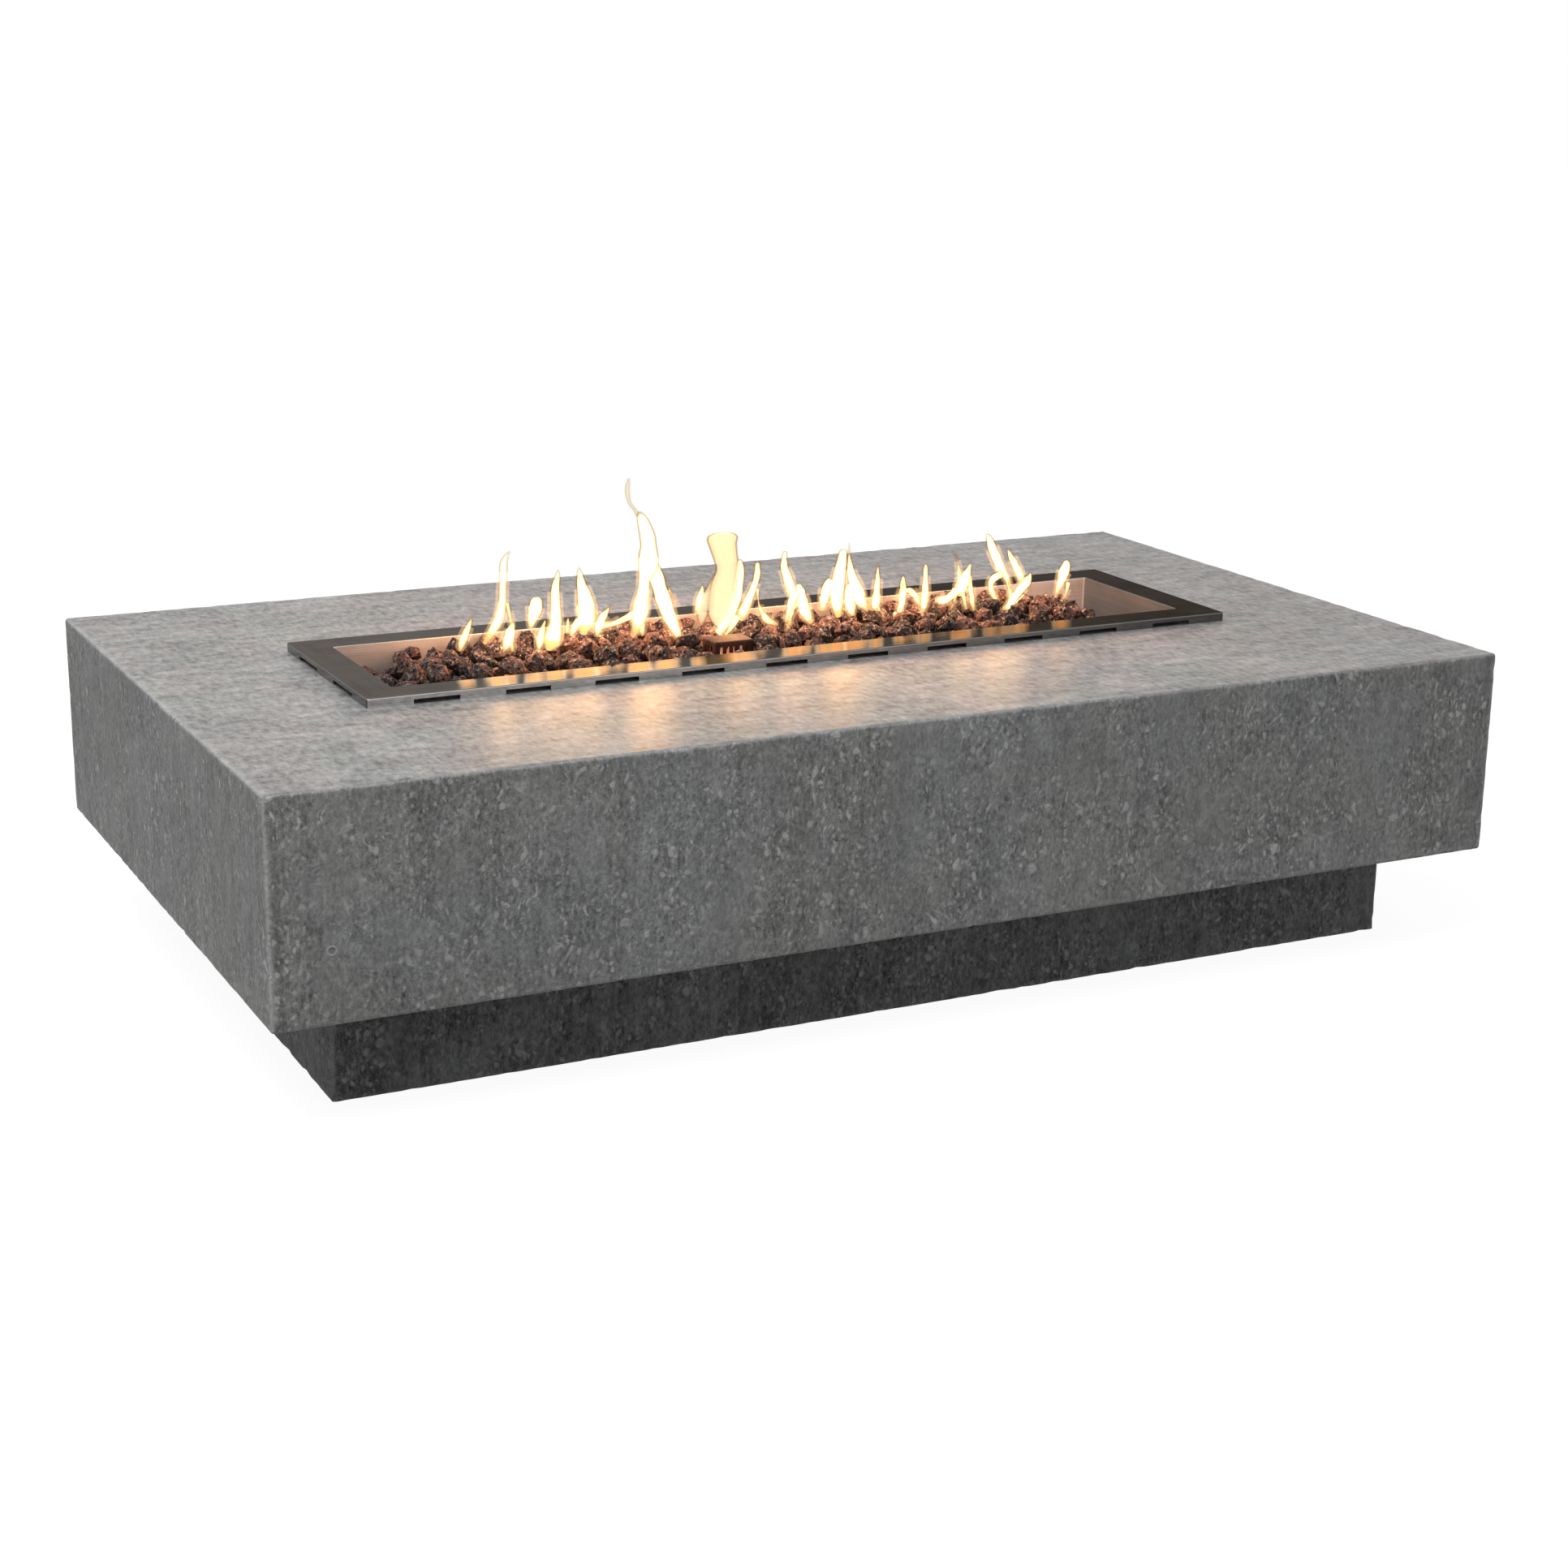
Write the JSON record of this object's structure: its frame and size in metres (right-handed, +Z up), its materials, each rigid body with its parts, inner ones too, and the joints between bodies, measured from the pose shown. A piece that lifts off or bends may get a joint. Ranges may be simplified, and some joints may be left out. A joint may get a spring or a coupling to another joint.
{
  "type": "gas fire pit",
  "caption": "Low rectangular concrete fire table on a set-back plinth, with a drop-in stainless linear gas burner, lava rock, and a push-and-turn valve knob with a spark button.",
  "frame": {"origin": "on the floor under the middle of the plinth", "axes": "+Z up, +X along the long side towards the control end, -Y towards the front of the picture"},
  "size_m": [1.42, 0.81, 0.3648],
  "materials": {
    "concrete": "satin-sealed grey concrete with pits and streaks",
    "plinth_concrete": "darker grey concrete",
    "stainless": "brushed along its length",
    "heat_tinted_steel": "browned by heat",
    "zinc_steel": "zinc plated",
    "brass": "turned",
    "aluminium_tube": "drawn",
    "black_plastic": "fine matt texture",
    "button_plastic": "smooth",
    "battery_wrap": "plain wrap",
    "lead_rubber": "silicone sleeve",
    "copper_lead": "bare copper capillary",
    "white_ceramic": "unglazed",
    "lava_rock": "porous red-brown rock"
  },
  "bodies": {
    "fire_pit": {"air_mixer": "brass", "bonnet_screws": "zinc_steel", "bracket_bolts": "zinc_steel", "burner_pan": "stainless", "burner_saddles": "zinc_steel", "burner_tube": "zinc_steel", "control_box": "stainless", "control_box_screws": "zinc_steel", "electrode_insulator": "white_ceramic", "feed_nipple": "zinc_steel", "flare_nuts": "brass", "gas_orifice": "brass", "gas_tube": "aluminium_tube", "igniter_battery": "battery_wrap", "igniter_cage": "heat_tinted_steel", "igniter_collar": "stainless", "igniter_lead": "lead_rubber", "igniter_module": "black_plastic", "inlet_bracket": "zinc_steel", "inlet_fitting": "brass", "inlet_nut": "brass", "inlet_tube": "aluminium_tube", "joining_brackets": "zinc_steel", "knob_bezel": "stainless", "lava_rock_lower": "lava_rock", "lava_rock_upper": "lava_rock", "lead_clips": "zinc_steel", "pan_locknut": "zinc_steel", "pilot_bracket": "zinc_steel", "plinth": "plinth_concrete", "spark_electrode": "heat_tinted_steel", "table_body": "concrete", "thermocouple": "heat_tinted_steel", "thermocouple_lead": "copper_lead", "valve_body": "brass", "valve_bonnet": "brass", "valve_nut": "zinc_steel"},
    "valve_plug": {"valve_plug": "brass"},
    "knob": {"control_knob": "black_plastic", "valve_spindle": "zinc_steel"},
    "igniter_button": {"igniter_button": "button_plastic"}
  },
  "joints": [
    {"name": "knob_turn", "type": "hinge", "parent": "fire_pit", "child": "valve_plug", "pos_m": [0.621, 0.04, 0.225], "axis": [1, 0, 0], "range_deg": [0, 180]},
    {"name": "knob_push", "type": "slide", "parent": "valve_plug", "child": "knob", "axis": [-1, 0, 0], "range_m": [0, 0.004], "stiffness_N_per_m": 800, "springref_m": -0.004},
    {"name": "igniter_press", "type": "slide", "parent": "fire_pit", "child": "igniter_button", "axis": [-1, 0, 0], "range_m": [0, 0.004], "stiffness_N_per_m": 600, "springref_m": -0.004}
  ]
}
